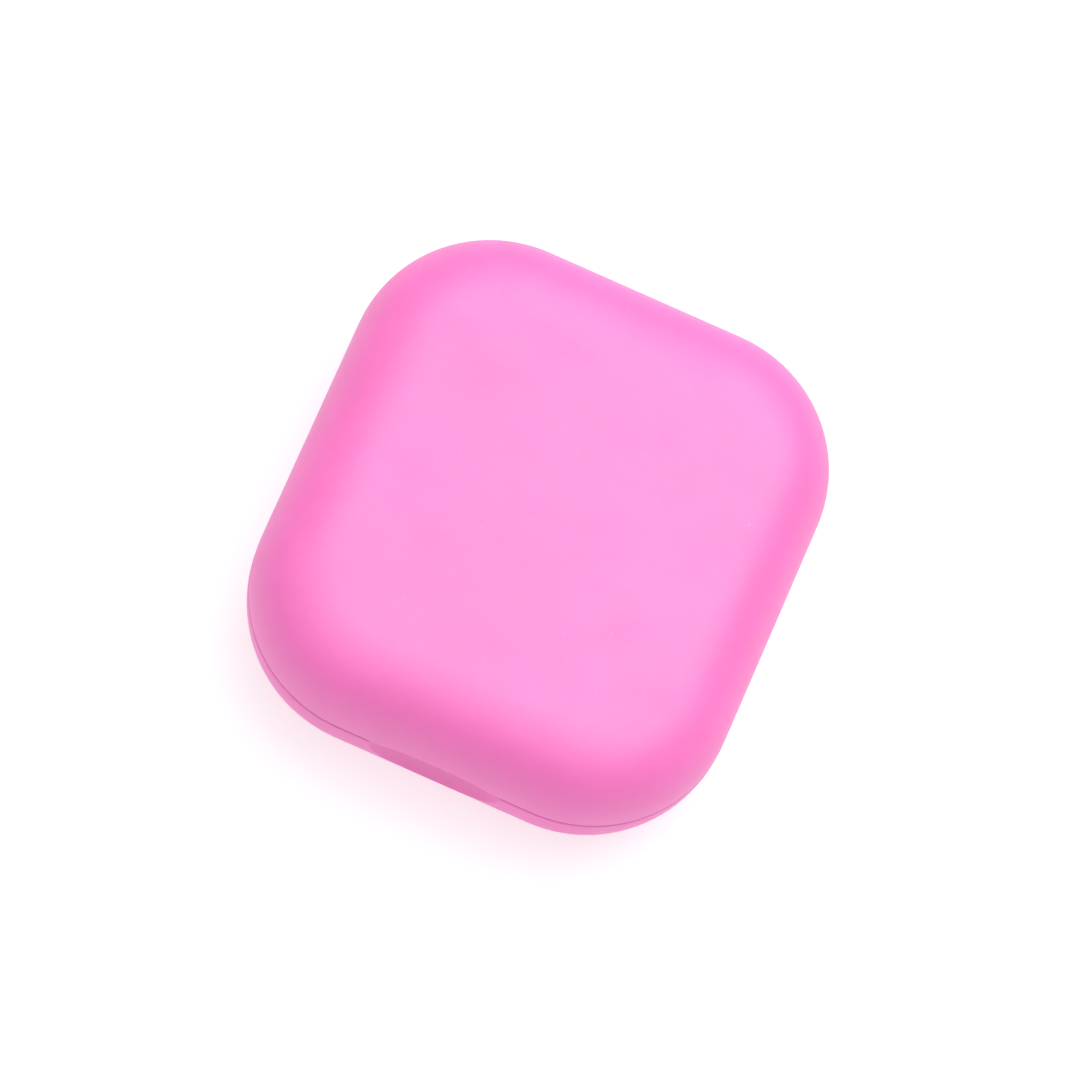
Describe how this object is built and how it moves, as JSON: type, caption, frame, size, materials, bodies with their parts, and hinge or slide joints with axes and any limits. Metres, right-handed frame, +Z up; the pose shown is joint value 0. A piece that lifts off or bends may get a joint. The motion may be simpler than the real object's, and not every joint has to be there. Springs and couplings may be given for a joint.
{
  "type": "contact lens case",
  "caption": "Hinged pillow-shaped travel box with a thumb notch, holding a screw-capped twin-well lens case, tweezers, applicator, bottle and mirror.",
  "frame": {"origin": "middle of the bounding box, at the bottom of the case", "axes": "+Z up; -Y is the front edge with the thumb notch, +Y the hinge; +X to the right seen from the front"},
  "size_m": [0.072, 0.0786, 0.0262],
  "materials": {
    "pink_plastic": "satin",
    "tray_plastic": "satin",
    "white_plastic": "semi-gloss",
    "cap_pink": "semi-gloss",
    "clear_pink": "gloss",
    "silicone": "soft matte",
    "steel": "satin",
    "mirror_glass": "polished",
    "foam_tape": "matte",
    "bottle_plastic": "semi-gloss"
  },
  "bodies": {
    "base": {"base_shell": "pink_plastic", "hinge_pin": "steel", "inner_tray": "tray_plastic", "lens_case_body": "white_plastic", "tweezer_arm_fixed": "clear_pink", "tweezer_tip_fixed": "silicone", "applicator_handle": "clear_pink", "applicator_cup": "silicone", "bottle_body": "bottle_plastic", "bottle_nozzle": "silicone"},
    "lid": {"lid_shell": "pink_plastic", "mirror_frame": "tray_plastic", "mirror": "mirror_glass", "mirror_tape": "foam_tape"},
    "left_seal": {"cap_seal_left": "silicone"},
    "left_cap": {"lens_cap_left": "cap_pink"},
    "right_seal": {"cap_seal_right": "silicone"},
    "right_cap": {"lens_cap_right": "white_plastic"},
    "tweezer_arm": {"tweezer_arm_moving": "clear_pink", "tweezer_tip_moving": "silicone"},
    "bottle_liner": {"bottle_cap_liner": "foam_tape"},
    "bottle_cap": {"bottle_cap": "cap_pink"}
  },
  "joints": [
    {"name": "lid_hinge", "type": "hinge", "parent": "base", "child": "lid", "pos_m": [0, 0.0371, 0.0135], "axis": [-1, 0, 0], "range_deg": [0, 115]},
    {"name": "left_cap_lift", "type": "slide", "parent": "base", "child": "left_seal", "axis": [0, 0, 1], "range_m": [0, 0.003]},
    {"name": "left_cap_turn", "type": "hinge", "parent": "left_seal", "child": "left_cap", "pos_m": [-0.015, -0.0202, 0.0146], "axis": [0, 0, 1], "range_deg": [0, 360]},
    {"name": "right_cap_lift", "type": "slide", "parent": "base", "child": "right_seal", "axis": [0, 0, 1], "range_m": [0, 0.003]},
    {"name": "right_cap_turn", "type": "hinge", "parent": "right_seal", "child": "right_cap", "pos_m": [0.015, -0.0202, 0.0146], "axis": [0, 0, 1], "range_deg": [0, 360]},
    {"name": "tweezer_squeeze", "type": "hinge", "parent": "base", "child": "tweezer_arm", "pos_m": [-0.02523, 0.0086, 0.0036], "axis": [0, 0, -1], "range_deg": [0, 4], "stiffness_Nm_per_rad": 0.05},
    {"name": "bottle_cap_draw", "type": "slide", "parent": "base", "child": "bottle_liner", "axis": [1, 0, 0], "range_m": [0, 0.0025]},
    {"name": "bottle_cap_turn", "type": "hinge", "parent": "bottle_liner", "child": "bottle_cap", "pos_m": [0.00978, 0.0234, 0.0112], "axis": [1, 0, 0], "range_deg": [0, 360]}
  ],
  "couplings": [
    {"joint": "left_cap_turn", "follows": "left_cap_lift", "rad_per_m": 2094.4},
    {"joint": "right_cap_turn", "follows": "right_cap_lift", "rad_per_m": 2094.4},
    {"joint": "bottle_cap_turn", "follows": "bottle_cap_draw", "rad_per_m": 2513.3}
  ]
}
